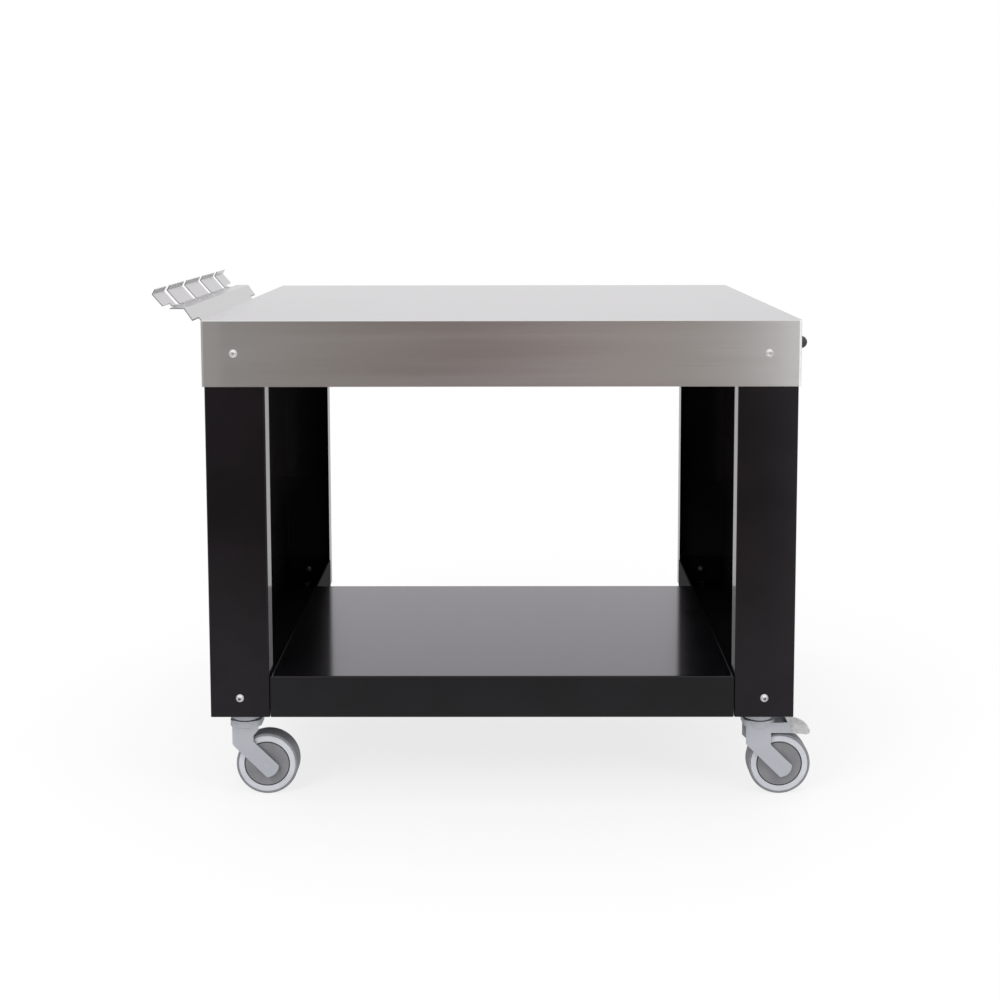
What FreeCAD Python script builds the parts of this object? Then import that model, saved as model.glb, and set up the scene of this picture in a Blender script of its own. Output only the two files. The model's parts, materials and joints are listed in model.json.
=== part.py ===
"""Outdoor pizza oven table: a stainless tray top with a tool rack, black folded legs, a low shelf
and four swivel casters, two of them braked.  Millimetres, +Z up, front towards -Y, and the origin
on the floor under the middle of the whole object."""
import FreeCAD, Part
import math
import os
import re
import Sketcher
from FreeCAD import Placement, Rotation, Vector

TINY = 0.001

# Driving dimensions: alias, value and what it measures
SIZES = [
    ("table_width", 1000, "tray top, left to right"),
    ("table_depth", 800, "tray top, front to back"),
    ("table_height", 831, "floor to the tray top"),
    ("apron_height", 112, "folded-down rim of the tray"),
    ("tray_sheet", 1.5, "stainless sheet"),
    ("tray_bend", 3, "outer radius between the top and the rim"),
    ("tray_corner", 4, "outer radius of the upright corners"),
    ("hem_height", 12, "sheet folded back inside the lower edge"),
    ("panel_sheet", 2, "steel of the side panels"),
    ("panel_bend", 3, "outer bend radius of the side panels"),
    ("leg_inset", 3.5, "leg face behind the rim's face"),
    ("leg_width", 101, "front and back face of a leg"),
    ("leg_lip", 36, "inward lip of a leg"),
    ("rail_base", 4, "plate that carries the casters"),
    ("rail_sheet", 3, "flanges round that plate"),
    ("rail_rise", 60, "height of those flanges"),
    ("shelf_rise", 71, "shelf top above the bottom of the legs"),
    ("shelf_depth", 522, "shelf, front to back"),
    ("shelf_sheet", 2, "steel of the shelf"),
    ("shelf_bend", 3, "outer bend radius of the shelf"),
    ("shelf_seam", 1.5, "gap between shelf and leg"),
    ("brace_width", 50, "hat channel under a sheet"),
    ("brace_drop", 25, "depth of that channel"),
    ("brace_flange", 15, "flange of that channel"),
    ("brace_sheet", 1.5, "steel of that channel"),
    ("brace_offset", 150, "tray channels from the middle"),
    ("end_gap", 1, "channel or rail end to its neighbour"),
    ("bolt_radius", 4, "M8 shank"),
    ("bolt_head_radius", 7, "M8 button head"),
    ("bolt_head_height", 4.4, "M8 button head"),
    ("screw_radius", 3, "M6 shank"),
    ("screw_head_radius", 5.25, "M6 button head"),
    ("screw_head_height", 3.3, "M6 button head"),
    ("hole_play", 0.5, "bolt hole over the shank, in radius"),
    ("head_flat", 0.45, "flat of a button head over its radius"),
    ("head_skirt", 0.15, "straight edge of a button head over its height"),
    ("key_radius", 0.72, "hexagon recess over the shank's radius"),
    ("key_depth", 0.55, "hexagon recess over the head's height"),
    ("nut_corner", 1.88, "hexagon nut's corners over the shank's radius"),
    ("bolt_tail", 0.3, "shank past a nut over the nut's height"),
    ("insert_wall", 1.5, "wall of a rivet nut"),
    ("insert_lip", 2.25, "flange of a rivet nut past its wall"),
    ("insert_length", 14, "barrel of a rivet nut"),
    ("bolt_nut_height", 6.5, "M8 nut"),
    ("screw_nut_height", 5, "M6 nut"),
    ("leg_bolt_rise", 33, "lower bolts above the bottom of the legs"),
    ("shelf_bolt_rise", 36, "shelf screws above the bottom of the legs"),
    ("shelf_bolt_end", 61, "outer shelf screws from the shelf's front and back"),
    ("rack_length", 541, "tool rack along the side"),
    ("rack_sheet", 1.5, "stainless sheet of the rack"),
    ("rack_relief", 47, "notched stretch at each end of a bend"),
    ("rack_flange", 40, "mounting flange on the rim"),
    ("rack_bend_drop", 17.5, "lower bend below the tray top"),
    ("rack_ledge_rise", 20, "ledge above the tray top"),
    ("rack_ledge_start", 25.5, "ledge, inner edge from the rim"),
    ("rack_ledge_end", 57.5, "ledge, outer edge from the rim"),
    ("rack_out", 77.5, "outermost bend from the rim"),
    ("rack_out_rise", 43, "outermost bend above the tray top"),
    ("rack_lip_back", 4.5, "lip leaning back over the ledge"),
    ("rack_lip_rise", 8, "height of the lip"),
    ("slot_width", 22, "slot for a tool handle"),
    ("slot_end", 84.5, "first and last slot from the ends of the rack"),
    ("rack_screw_end", 43.5, "outer rack screws from the ends of the flange"),
    ("knob_radius", 10.75, "ball of the side knob"),
    ("knob_neck", 4.5, "knob's neck"),
    ("knob_base", 9, "knob's foot on the rim"),
    ("knob_foot", 1.5, "straight edge of that foot"),
    ("knob_flare", 4, "rim to the neck"),
    ("knob_reach", 19, "ball centre from the rim"),
    ("knob_drop", 49, "knob below the tray top"),
    ("knob_setback", 100, "knob behind the front"),
    ("caster_inset", 56, "swivel axis in from the side"),
    ("caster_setback", 54, "swivel axis in from the front or back"),
    ("trail", 36, "axle behind the swivel axis"),
    ("wheel_radius", 53.5, "tread"),
    ("wheel_width", 32, "tread"),
    ("tyre_depth", 4.2, "tread over the rim"),
    ("tyre_shoulder", 3, "rounded edge of the tread"),
    ("tyre_edge", 1, "slant between tyre and rim in the wheel's face"),
    ("rim_ring", 9.8, "light ring in the wheel's face"),
    ("guard_gap", 1.2, "groove round the disc"),
    ("guard_sheet", 2, "thickness of the disc"),
    ("guard_sink", 0.5, "disc below the wheel's face"),
    ("boss_radius", 10, "disc's boss against the fork"),
    ("hub_radius", 20, "hub of the rim"),
    ("hub_width", 24, "hub and bearing"),
    ("web_sheet", 7.7, "web between hub and ring"),
    ("bearing_radius", 14, "outside of the bearing"),
    ("sleeve_radius", 6, "tube that the bearing runs on"),
    ("axle_radius", 4, "axle pin"),
    ("running_play", 0.05, "radial play of a turning fit"),
    ("wheel_side_gap", 4, "wheel to fork side"),
    ("wheel_clearance", 15, "tread to the swivel head above it"),
    ("fork_sheet", 2.5, "steel of the fork"),
    ("fork_arm", 29, "width of the slanting arm"),
    ("arm_drop", 33.25, "arm's middle line at the swivel axis, below the head"),
    ("fork_tip_radius", 21, "arm's end round the axle"),
    ("fork_step", 3, "back edge of the fork in from the head"),
    ("fork_skirt", 1.5, "sheet drawn down below the head"),
    ("fork_shoulder", 7, "back edge's top below the head"),
    ("neck_step", 13, "front edge of a plain fork in from the head"),
    ("neck_drop", 15.5, "that edge's top below the head"),
    ("braked_neck_step", 7, "front edge of a braked fork in from the head"),
    ("crown_radius", 27, "swivel head"),
    ("crown_height", 10.5, "thickness of the swivel head"),
    ("race_gap", 1.5, "dark ring between head and cup"),
    ("race_step", 3, "dark ring in from the head"),
    ("cup_height", 17, "cup under the leg"),
    ("cup_step", 0.5, "cup in from the head"),
    ("cup_edge", 1, "slant at the cup's lower edge"),
    ("pin_radius", 5, "king pin"),
    ("pin_head_radius", 9, "king pin head"),
    ("pin_head_height", 5.5, "king pin head"),
    ("pin_play", 0.3, "level faces that slide past each other"),
    ("pin_nut_height", 8, "king pin nut"),
    ("pin_tail", 2, "king pin past its nut"),
    ("cheek_out", 28, "braked fork's cheeks beyond the head"),
    ("cheek_rise", 7, "upper edge of the cheeks above the head's underside"),
    ("cheek_drop", 11, "lower edge of the cheeks below it"),
    ("cheek_slant", 4, "slant of the cheeks' end"),
    ("brake_pin_out", 9, "pedal's pivot beyond the head"),
    ("brake_pin_drop", 6, "pedal's pivot below the head"),
    ("brake_pin_radius", 3, "pedal's pivot"),
    ("pedal_out", 23, "pedal's root beyond the head"),
    ("pedal_length", 40, "brake pedal"),
    ("pedal_width", 34, "brake pedal"),
    ("shoe_gap", 2, "shoe beyond the head"),
    ("shoe_depth", 7.8, "shoe below its pivot"),
    ("cheek_play", 0.5, "shoe below the head's underside"),
]

# Places worked out from the driving dimensions
PLACES = [
    ("crown_under", "2 * wheel_radius + wheel_clearance"),
    ("crown_top", "crown_under + crown_height"),
    ("race_top", "crown_top + race_gap"),
    ("caster_height", "race_top + cup_height"),
    ("rim_radius", "wheel_radius - tyre_depth"),
    ("ring_radius", "rim_radius - rim_ring"),
    ("guard_radius", "ring_radius - guard_gap"),
    ("wheel_face", "wheel_width / 2"),
    ("fork_inner", "wheel_face + wheel_side_gap"),
    ("fork_width", "2 * (fork_inner + fork_sheet)"),
    ("fork_slope", "atan((crown_under - arm_drop - wheel_radius) / trail)"),
    ("cheek_reach", "crown_radius + cheek_out"),
    ("brake_pin_x", "crown_radius + brake_pin_out"),
    ("brake_pin_z", "crown_under - brake_pin_drop"),
    ("pedal_start", "crown_radius + pedal_out"),
    ("pedal_reach", "pedal_start + pedal_length"),
    ("leg_x", "table_width / 2 - leg_inset"),
    ("leg_y", "table_depth / 2 - leg_inset"),
    ("leg_inner_x", "leg_x - leg_width"),
    ("leg_middle_x", "leg_x - leg_width / 2"),
    ("apron_bottom", "table_height - apron_height"),
    ("panel_top", "table_height - tray_sheet"),
    ("apron_bolt_z", "table_height - apron_height / 2"),
    ("leg_bolt_z", "caster_height + leg_bolt_rise"),
    ("shelf_x", "leg_inner_x - shelf_seam"),
    ("shelf_top", "caster_height + shelf_rise"),
    ("shelf_middle_y", "shelf_depth / 2 - leg_y"),
    ("shelf_bolt_z", "caster_height + shelf_bolt_rise"),
    ("shelf_bolt_pitch", "shelf_depth / 2 - shelf_bolt_end"),
    ("lip_x", "leg_inner_x + panel_sheet"),
    ("insert_flange", "leg_inset - tray_sheet"),
    ("rack_middle_y", "rack_length / 2 - table_depth / 2"),
    ("slot_pitch", "(rack_length - 2 * slot_end) / 3"),
    ("rack_screw_pitch", "rack_length / 2 - rack_relief - rack_screw_end"),
    ("rack_screw_z", "table_height - rack_bend_drop - rack_flange / 2"),
    ("knob_y", "knob_setback - table_depth / 2"),
    ("knob_z", "table_height - knob_drop"),
    ("caster_x", "table_width / 2 - caster_inset"),
    ("caster_y", "table_depth / 2 - caster_setback"),
    ("right_reach", "max(caster_x + pedal_reach; caster_x + trail + wheel_radius; "
                    "table_width / 2 + knob_reach + knob_radius)"),
    ("left_reach", "table_width / 2 + rack_out + rack_sheet"),
    ("centre_x", "(left_reach - right_reach) / 2"),
]

# Side view of the pedal: share of its length from the root, and height over its pivot
PEDAL_LINE = [(0, 11), (0.25, 9.5), (0.6, 5.5), (0.85, 1), (0.97, -3), (1, -6), (0.97, -10),
              (0.8, -9.7), (0.25, -8), (0, -6)]

CORNERS = [("front_left", -1, -1), ("front_right", 1, -1), ("back_left", -1, 1), ("back_right", 1, 1)]
BRAKED = ("front_right", "back_right")

doc = FreeCAD.newDocument("oven_table")
nodes = []


def fill_sheets():
    """The two spreadsheets: driving sizes as plain numbers, and the places that follow from them."""
    sizes = doc.addObject("Spreadsheet::Sheet", "Sizes")
    for row, (alias, number, note) in enumerate(SIZES, start=1):
        sizes.set(f"A{row}", note)
        sizes.set(f"B{row}", str(number))
        sizes.setAlias(f"B{row}", alias)
    doc.recompute()
    places = doc.addObject("Spreadsheet::Sheet", "Places")
    for row, (alias, formula) in enumerate(PLACES, start=1):
        places.setAlias(f"B{row}", alias)
        places.set(f"B{row}", "=" + bound(formula))
    doc.recompute()
    return sizes, places


def bound(formula):
    """A formula in plain size names, with the sheet that holds each name put before it."""
    def with_sheet(match):
        word = match.group(0)
        if word in SIZE_NAMES:
            return "Sizes." + word
        if word in PLACE_NAMES:
            return "Places." + word
        return word
    return re.sub(r"[a-z][a-z_0-9]*", with_sheet, formula)


SIZE_NAMES = {alias for alias, number, note in SIZES}
PLACE_NAMES = {alias for alias, formula in PLACES}
sizes, places = fill_sheets()


def number(formula):
    """The present value of a formula."""
    return float(sizes.evalExpression(bound(formula)))


def bind(item, prop, formula):
    item.setExpression(prop, bound(formula))


def put(item, x, y, z, turn=None):
    """Binds an object's place, measured from the middle of the table."""
    if turn is not None:
        item.Placement.Rotation = turn
    bind(item, "Placement.Base.x", f"centre_x + ({x})")
    bind(item, "Placement.Base.y", y)
    bind(item, "Placement.Base.z", z)


def new_body(name):
    return doc.addObject("PartDesign::Body", name)


def finish(item, label, x="0", y="0", z="0", turn=None):
    """Names a finished sub-part and puts it in its place."""
    item.Label = label
    put(item, x, y, z, turn)
    nodes.append(item)
    return item


def new_sketch(body, role, lift):
    """An empty sketch on one of the body's own planes, lifted along the plane's normal."""
    sketch = body.newObject("Sketcher::SketchObject", "Sketch")
    plane = next(item for item in body.Origin.OriginFeatures if item.Role == role)
    sketch.AttachmentSupport = (plane, [""])
    sketch.MapMode = "FlatFace"
    bind(sketch, "AttachmentOffset.Base.z", lift)
    return sketch


def dimension(sketch, kind, where, formula):
    """One driving constraint, bound to a formula."""
    index = sketch.addConstraint(Sketcher.Constraint(kind, *where, number(formula)))
    sketch.renameConstraint(index, f"size_{index}")
    bind(sketch, f"Constraints.size_{index}", formula)


def arc_between(start, end, centre_x):
    """The short arc from start to end with its centre at centre_x, and whether it runs that way."""
    square = (end.x ** 2 + end.y ** 2 - start.x ** 2 - start.y ** 2) / 2
    centre_y = (square - centre_x * (end.x - start.x)) / (end.y - start.y)
    centre = Vector(centre_x, centre_y, 0)
    first = math.atan2(start.y - centre_y, start.x - centre_x)
    last = math.atan2(end.y - centre_y, end.x - centre_x)
    forward = (last - first) % math.tau < math.pi
    if not forward:
        first, last = last, first
    if last < first:
        last += math.tau
    circle = Part.Circle(centre, Vector(0, 0, 1), start.distanceToPoint(centre))
    return Part.ArcOfCircle(circle, first, last), forward


def outline(body, role, corners, lift="0"):
    """A closed sketch.  A corner is (x, y), or (x, y, centre x) where an arc leaves it."""
    sketch = new_sketch(body, role, lift)
    points = [Vector(number(corner[0]), number(corner[1]), 0) for corner in corners]
    ends = []
    for index, corner in enumerate(corners):
        start = points[index]
        end = points[(index + 1) % len(points)]
        if len(corner) == 2:
            sketch.addGeometry(Part.LineSegment(start, end))
            ends.append((1, 2))
        else:
            arc, forward = arc_between(start, end, number(corner[2]))
            sketch.addGeometry(arc)
            ends.append((1, 2) if forward else (2, 1))
    for index in range(len(corners)):
        after = (index + 1) % len(corners)
        joint = Sketcher.Constraint("Coincident", index, ends[index][1], after, ends[after][0])
        sketch.addConstraint(joint)
    for index, corner in enumerate(corners):
        dimension(sketch, "DistanceX", (-1, 1, index, ends[index][0]), corner[0])
        dimension(sketch, "DistanceY", (-1, 1, index, ends[index][0]), corner[1])
        if len(corner) > 2:
            dimension(sketch, "DistanceX", (-1, 1, index, 3), corner[2])
    return sketch


def circles(body, role, spots, lift="0"):
    """A sketch of circles, each (x, y, radius)."""
    sketch = new_sketch(body, role, lift)
    for index, (x, y, radius) in enumerate(spots):
        middle = Vector(number(x), number(y), 0)
        sketch.addGeometry(Part.Circle(middle, Vector(0, 0, 1), number(radius)))
        dimension(sketch, "DistanceX", (-1, 1, index, 3), x)
        dimension(sketch, "DistanceY", (-1, 1, index, 3), y)
        dimension(sketch, "Radius", (index,), radius)
    return sketch


def rectangle(half_x, half_y):
    return [(f"-({half_x})", f"-({half_y})"), (half_x, f"-({half_y})"),
            (half_x, half_y), (f"-({half_x})", half_y)]


def hexagon(radius):
    """Six corners on a circle."""
    corners = []
    for step in range(6):
        angle = math.radians(60 * step)
        corners.append((f"({radius}) * {math.cos(angle):.9f}", f"({radius}) * {math.sin(angle):.9f}"))
    return corners


def pad(body, sketch, length, both_ways=False):
    feature = body.newObject("PartDesign::Pad", "Pad")
    feature.Profile = sketch
    feature.Midplane = both_ways
    bind(feature, "Length", length)
    doc.recompute()
    return feature


def pocket(body, sketch, length, way="both"):
    """A cut: both ways from the sketch, along its normal ("up") or against it ("down")."""
    before = body.Shape.Volume
    feature = body.newObject("PartDesign::Pocket", "Pocket")
    feature.Profile = sketch
    feature.Midplane = way == "both"
    feature.Reversed = way == "up"
    bind(feature, "Length", length)
    doc.recompute()
    if not body.Shape.Volume < before - TINY:
        raise RuntimeError(f"{body.Name}: a pocket removes nothing")
    return feature


def turn(body, sketch):
    """A solid of revolution about the sketch's vertical axis."""
    feature = body.newObject("PartDesign::Revolution", "Revolution")
    feature.Profile = sketch
    feature.ReferenceAxis = (sketch, ["V_Axis"])
    feature.Angle = 360
    doc.recompute()
    return feature


def round_edges(body, radius, chosen):
    """Fillets the edges of the present solid that the test picks."""
    base = body.Tip
    names = [f"Edge{index}" for index, edge in enumerate(base.Shape.Edges, start=1) if chosen(edge)]
    feature = body.newObject("PartDesign::Fillet", "Fillet")
    feature.Base = (base, names)
    bind(feature, "Radius", radius)
    doc.recompute()
    return feature


def is_line_along(edge, axis):
    """True for a straight edge along x, y or z."""
    if edge.Curve.TypeId != "Part::GeomLine":
        return False
    return abs(abs(getattr(edge.Curve.Direction, axis)) - 1) < TINY


def is_level_at(edge, height):
    box = edge.BoundBox
    return abs(box.ZMin - height) < TINY and abs(box.ZMax - height) < TINY


def is_out_at(edge, reach):
    """True where an edge starts this far to the left or right of the middle."""
    return abs(abs(edge.Vertexes[0].Point.x) - reach) < TINY


def copies(label, source, spots):
    """One sub-part of separate equal solids: links to a source, each bound to (x, y, z, rotation)."""
    links = []
    for index, (x, y, z, rotation) in enumerate(spots):
        link = doc.addObject("App::Link", f"{label}_{index + 1}")
        link.LinkedObject = source
        link.LinkTransform = False
        link.Placement.Rotation = rotation
        bind(link, "Placement.Base.x", x)
        bind(link, "Placement.Base.y", y)
        bind(link, "Placement.Base.z", z)
        links.append(link)
    group = doc.addObject("Part::Compound", label)
    group.Links = links
    return finish(group, label)


UPRIGHT = Rotation()
TO_FRONT = Rotation(Vector(1, 0, 0), 90)
TO_BACK = Rotation(Vector(1, 0, 0), -90)
TO_RIGHT = Rotation(Vector(0, 1, 0), 90)
TO_LEFT = Rotation(Vector(0, 1, 0), -90)


def make_worktop():
    """Stainless tray: flat top, rounded bends, and a rim whose lower edge is hemmed inside."""
    body = new_body("Worktop")
    pad(body, outline(body, "XY_Plane", rectangle("table_width / 2", "table_depth / 2")), "apron_height")
    round_edges(body, "tray_corner", lambda edge: is_line_along(edge, "z"))
    top = number("apron_height")
    round_edges(body, "tray_bend", lambda edge: is_level_at(edge, top))
    hem = "2 * tray_sheet"
    inside = rectangle(f"table_width / 2 - {hem}", f"table_depth / 2 - {hem}")
    pocket(body, outline(body, "XY_Plane", inside), "apron_height - tray_sheet", "up")
    inside = rectangle("table_width / 2 - tray_sheet", "table_depth / 2 - tray_sheet")
    pocket(body, outline(body, "XY_Plane", inside, "hem_height"),
           "apron_height - tray_sheet - hem_height", "up")
    bolt_hole = "bolt_radius + hole_play"
    front = [(f"{side} * leg_middle_x", "apron_bolt_z - apron_bottom", bolt_hole) for side in (-1, 1)]
    pocket(body, circles(body, "XZ_Plane", front), "table_depth * 2")
    screw_hole = "screw_radius + hole_play"
    rack = [(f"rack_middle_y + {step} * rack_screw_pitch", "rack_screw_z - apron_bottom", screw_hole)
            for step in (-1, 0, 1)]
    pocket(body, circles(body, "YZ_Plane", rack), "table_width", "down")
    knob = [("knob_y", "knob_z - apron_bottom", screw_hole)]
    pocket(body, circles(body, "YZ_Plane", knob), "table_width", "up")
    finish(body, "worktop", z="apron_bottom")


def hat_channel(label, length, y, z):
    """Hat channel along X that hangs under a sheet, its flanges against the sheet."""
    body = new_body("Channel")
    half = "brace_width / 2"
    edge = "brace_width / 2 + brace_flange"
    corners = [
        (f"-({edge})", "0"), (f"-({half} - brace_sheet)", "0"),
        (f"-({half} - brace_sheet)", "brace_sheet - brace_drop"),
        (f"{half} - brace_sheet", "brace_sheet - brace_drop"), (f"{half} - brace_sheet", "0"),
        (edge, "0"), (edge, "-brace_sheet"), (half, "-brace_sheet"), (half, "-brace_drop"),
        (f"-({half})", "-brace_drop"), (f"-({half})", "-brace_sheet"), (f"-({edge})", "-brace_sheet"),
    ]
    pad(body, outline(body, "YZ_Plane", corners), length, both_ways=True)
    finish(body, label, y=y, z=z)


def leg_plan(side, skin):
    """Plan of one side panel's outer line, moved in by skin: a C with a lip at each end."""
    return [
        (f"{side} * (leg_x - {skin})", f"-(leg_y - {skin})"),
        (f"{side} * (leg_x - {skin})", f"leg_y - {skin}"),
        (f"{side} * (leg_inner_x + {skin})", f"leg_y - {skin}"),
        (f"{side} * (leg_inner_x + {skin})", "leg_y - leg_lip"),
        (f"{side} * (leg_inner_x + {skin})", "-(leg_y - leg_lip)"),
        (f"{side} * (leg_inner_x + {skin})", f"-(leg_y - {skin})"),
    ]


def make_side_panel(label, side):
    """Side panel: one web, a front and a back leg face, and a lip along each inner edge."""
    outer = leg_plan(side, "0")
    inner = leg_plan(side, "panel_sheet")
    corners = outer[0:4] + [inner[3], inner[2], inner[1], inner[0], inner[5], inner[4]] + outer[4:6]
    body = new_body("Panel")
    pad(body, outline(body, "XY_Plane", corners), "panel_top - caster_height")
    bends = {(abs(number(x)), abs(number(y))) for x, y in [outer[0], outer[2]]}
    folds = {(abs(number(x)), abs(number(y))) for x, y in [inner[0], inner[2]]}

    def stands_on(spots):
        def test(edge):
            if not is_line_along(edge, "z"):
                return False
            foot = edge.Vertexes[0].Point
            return any(math.dist(spot, (abs(foot.x), abs(foot.y))) < TINY for spot in spots)
        return test

    round_edges(body, "panel_bend", stands_on(bends))
    round_edges(body, "panel_bend - panel_sheet", stands_on(folds))
    x = f"{side} * leg_middle_x"
    bolts = [(x, "leg_bolt_z - caster_height", "bolt_radius + hole_play"),
             (x, "apron_bolt_z - caster_height", "bolt_radius + insert_wall")]
    pocket(body, circles(body, "XZ_Plane", bolts), "table_depth * 2")
    insert = "screw_radius + insert_wall"
    if side < 0:
        spots = [(f"rack_middle_y + {step} * rack_screw_pitch", "rack_screw_z - caster_height", insert)
                 for step in (-1, 0, 1)]
        pocket(body, circles(body, "YZ_Plane", spots), "table_width", "down")
    else:
        spots = [("knob_y", "knob_z - caster_height", insert)]
        pocket(body, circles(body, "YZ_Plane", spots), "table_width", "up")
    finish(body, label, z="caster_height")


def rail_plan(side, skin):
    """Plan of a caster rail: fills the panel's foot and steps round its two lips."""
    web = f"{side} * (leg_x - panel_sheet - {skin})"
    lip = f"{side} * (lip_x + end_gap + {skin})"
    open_side = f"{side} * (shelf_x + {skin})"
    end = f"leg_y - panel_sheet - {skin}"
    step = f"leg_y - leg_lip - end_gap - {skin}"
    return [
        (web, f"-({end})"), (web, end), (lip, end), (lip, step), (open_side, step),
        (open_side, f"-({step})"), (lip, f"-({step})"), (lip, f"-({end})"),
    ]


def make_base_rail(label, side):
    """Caster rail: a thick plate in the foot of a side panel, flanged up all round."""
    body = new_body("Rail")
    pad(body, outline(body, "XY_Plane", rail_plan(side, "0")), "rail_rise")
    web = number("leg_x - panel_sheet")
    round_edges(body, "panel_bend", lambda edge: is_line_along(edge, "z") and is_out_at(edge, web))
    tray = outline(body, "XY_Plane", rail_plan(side, "rail_sheet"), "rail_base")
    pocket(body, tray, "rail_rise", "up")
    x = f"{side} * leg_middle_x"
    bolts = [(x, "leg_bolt_rise", "bolt_radius + hole_play")]
    pocket(body, circles(body, "XZ_Plane", bolts), "table_depth * 2")
    pins = [(f"{side} * caster_x", f"{end} * caster_y", "pin_radius + hole_play") for end in (-1, 1)]
    pocket(body, circles(body, "XY_Plane", pins), "rail_base", "up")
    inner_flange = f"{side} * (shelf_x + rail_sheet / 2)"
    screws = [(y, "shelf_bolt_rise", "screw_radius + hole_play") for y in shelf_bolt_places()]
    pocket(body, circles(body, "YZ_Plane", screws, inner_flange), "2 * rail_sheet")
    finish(body, label, z="caster_height")


def shelf_bolt_places():
    return [f"shelf_middle_y + {step} * shelf_bolt_pitch" for step in (-1, 0, 1)]


def make_shelf():
    """Shelf: a sheet folded down on all four sides, level with the legs' faces and feet."""
    body = new_body("Shelf")
    pad(body, outline(body, "XY_Plane", rectangle("shelf_x", "shelf_depth / 2")), "shelf_rise")
    top = number("shelf_rise")
    round_edges(body, "shelf_bend", lambda edge: is_level_at(edge, top))
    inside = rectangle("shelf_x - shelf_sheet", "shelf_depth / 2 - shelf_sheet")
    pocket(body, outline(body, "XY_Plane", inside), "shelf_rise - shelf_sheet", "up")
    screws = [(f"{step} * shelf_bolt_pitch", "shelf_bolt_rise", "screw_radius + hole_play")
              for step in (-1, 0, 1)]
    pocket(body, circles(body, "YZ_Plane", screws), "table_width * 2")
    finish(body, "shelf", y="shelf_middle_y", z="caster_height")


def button_bolt(radius, head_radius, head_height, length):
    """Button-head bolt along Z: head above z = 0 with a hexagon recess, shank below."""
    body = new_body("Bolt")
    flat = f"{head_radius} * head_flat"
    corners = [
        ("0", f"-({length})"), (radius, f"-({length})"), (radius, "0"), (head_radius, "0"),
        (head_radius, f"{head_height} * head_skirt", "0"), (flat, head_height), ("0", head_height),
    ]
    turn(body, outline(body, "XZ_Plane", corners))
    recess = outline(body, "XY_Plane", hexagon(f"{radius} * key_radius"), head_height)
    pocket(body, recess, f"{head_height} * key_depth", "down")
    return body


def rivet_nut(radius):
    """Rivet nut along Z: its flange fills the gap behind the rim, its barrel goes through the leg."""
    body = new_body("RivetNut")
    corners = [
        (radius, "-insert_length"), (f"{radius} + insert_wall", "-insert_length"),
        (f"{radius} + insert_wall", "0"), (f"{radius} + insert_wall + insert_lip", "0"),
        (f"{radius} + insert_wall + insert_lip", "insert_flange"), (radius, "insert_flange"),
    ]
    turn(body, outline(body, "XZ_Plane", corners))
    return body


def hex_nut(radius, height):
    """Hexagon nut along Z, from z = 0 up."""
    body = new_body("Nut")
    pad(body, outline(body, "XY_Plane", hexagon(f"{radius} * nut_corner")), height)
    pocket(body, circles(body, "XY_Plane", [("0", "0", radius)]), f"4 * {height}")
    return body


def front_and_back(y, z):
    """Four places at the middles of the leg faces, facing outwards."""
    spots = []
    for side in (-1, 1):
        spots.append((f"{side} * leg_middle_x", f"-({y})", z, TO_FRONT))
        spots.append((f"{side} * leg_middle_x", y, z, TO_BACK))
    return spots


def make_fasteners():
    """Bolts, rivet nuts and nuts of the frame, each kind one group of equal solids."""
    bolt_grip = "tray_sheet + insert_flange + insert_length"
    bolt = button_bolt("bolt_radius", "bolt_head_radius", "bolt_head_height", bolt_grip)
    copies("apron_bolts", bolt, front_and_back("table_depth / 2", "apron_bolt_z"))
    insert = rivet_nut("bolt_radius")
    copies("apron_rivet_nuts", insert, front_and_back("leg_y", "apron_bolt_z"))

    leg_grip = "panel_sheet + rail_sheet + (1 + bolt_tail) * bolt_nut_height"
    bolt = button_bolt("bolt_radius", "bolt_head_radius", "bolt_head_height", leg_grip)
    copies("leg_bolts", bolt, front_and_back("leg_y", "leg_bolt_z"))
    nut = hex_nut("bolt_radius", "bolt_nut_height")
    nut_y = "leg_y - panel_sheet - rail_sheet - bolt_nut_height"
    copies("leg_nuts", nut, front_and_back(nut_y, "leg_bolt_z"))

    shelf_grip = "shelf_sheet + rail_sheet + (1 + bolt_tail) * screw_nut_height"
    screw = button_bolt("screw_radius", "screw_head_radius", "screw_head_height", shelf_grip)
    nut = hex_nut("screw_radius", "screw_nut_height")
    screw_spots = []
    nut_spots = []
    for side, inwards in ((-1, TO_RIGHT), (1, TO_LEFT)):
        for y in shelf_bolt_places():
            screw_spots.append((f"{side} * (shelf_x - shelf_sheet)", y, "shelf_bolt_z", inwards))
            nut_x = f"{side} * (shelf_x + rail_sheet + screw_nut_height)"
            nut_spots.append((nut_x, y, "shelf_bolt_z", inwards))
    copies("shelf_bolts", screw, screw_spots)
    copies("shelf_nuts", nut, nut_spots)

    rack_grip = "rack_sheet + tray_sheet + insert_flange + insert_length"
    screw = button_bolt("screw_radius", "screw_head_radius", "screw_head_height", rack_grip)
    rack_y = [f"rack_middle_y + {step} * rack_screw_pitch" for step in (-1, 0, 1)]
    copies("rack_bolts", screw,
           [("-(table_width / 2 + rack_sheet)", y, "rack_screw_z", TO_LEFT) for y in rack_y])
    insert = rivet_nut("screw_radius")
    spots = [("-leg_x", y, "rack_screw_z", TO_LEFT) for y in rack_y]
    spots.append(("leg_x", "knob_y", "knob_z", TO_RIGHT))
    copies("side_rivet_nuts", insert, spots)


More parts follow.
